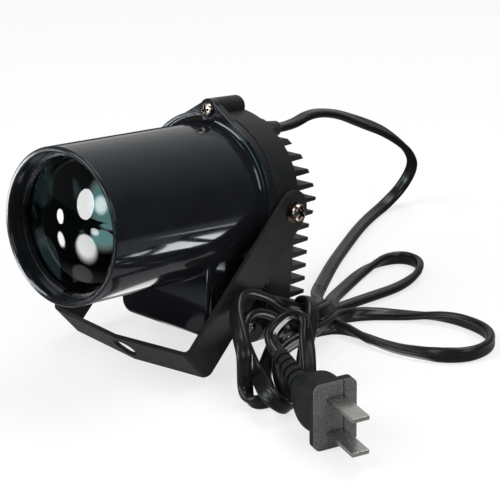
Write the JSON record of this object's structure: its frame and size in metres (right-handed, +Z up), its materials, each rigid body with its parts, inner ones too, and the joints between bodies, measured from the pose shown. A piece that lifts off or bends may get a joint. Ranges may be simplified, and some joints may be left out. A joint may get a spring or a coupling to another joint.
{
  "type": "pinspot light",
  "caption": "Small black pinspot light: glossy barrel, finned cast back and a strap yoke, with a flat cord in tied loops and a flat plug",
  "frame": {"origin": "on the surface that the light stands on, under the middle of the light without its cord", "axes": "+Z up, the barrel points along -Y and the pivot runs along X"},
  "size_m": [0.162, 0.2506, 0.0942],
  "materials": {
    "glossy_black": "gloss",
    "cast_black": "satin",
    "powder_black": "satin",
    "coated_glass": "gloss",
    "ring_black": "satin",
    "seal_rubber": "matte",
    "nickel_steel": "satin",
    "brass": "satin",
    "friction_fibre": "matte",
    "board_white": "satin",
    "phosphor": "gloss",
    "clear_acrylic": "gloss",
    "holder_plastic": "matte",
    "board_green": "satin",
    "ferrite": "matte",
    "can_aluminium": "satin",
    "terminal_plastic": "satin",
    "wire_insulation": "satin",
    "gland_nylon": "satin",
    "sleeve_rubber": "satin",
    "cord_pvc": "satin",
    "plug_plastic": "matte",
    "thermal_silicone": "matte"
  },
  "bodies": {
    "yoke": {"yoke": "powder_black", "cord_lead": "cord_pvc", "cord_hank": "cord_pvc", "plug_relief": "plug_plastic", "plug_body": "plug_plastic", "plug_blades": "nickel_steel"},
    "head": {"front_housing": "glossy_black", "front_lens": "coated_glass", "lens_ring": "ring_black", "lens_seal": "seal_rubber", "rear_housing": "cast_black", "housing_seal": "seal_rubber", "cover_screws": "nickel_steel", "pivot_inserts": "brass", "friction_washers": "friction_fibre", "pivot_washers": "nickel_steel", "spring_washers": "nickel_steel", "pivot_screws": "nickel_steel", "thermal_pad": "thermal_silicone", "led_board": "board_white", "led_board_screws": "nickel_steel", "led_emitter": "phosphor", "collimator": "clear_acrylic", "collimator_holder": "holder_plastic", "driver_board": "board_green", "driver_standoffs": "brass", "driver_screws": "nickel_steel", "transformer": "ferrite", "capacitors": "can_aluminium", "choke": "ferrite", "terminal_block": "terminal_plastic", "mains_wires": "wire_insulation", "led_wires": "wire_insulation", "cable_gland": "gland_nylon", "gland_nut": "gland_nylon", "entry_relief": "sleeve_rubber"}
  },
  "joints": [
    {"name": "tilt", "type": "hinge", "parent": "yoke", "child": "head", "pos_m": [0, 0.02839, 0.05362], "axis": [-1, 0, 0], "range_deg": [-10, 135], "deforming": ["cord_lead"]}
  ]
}
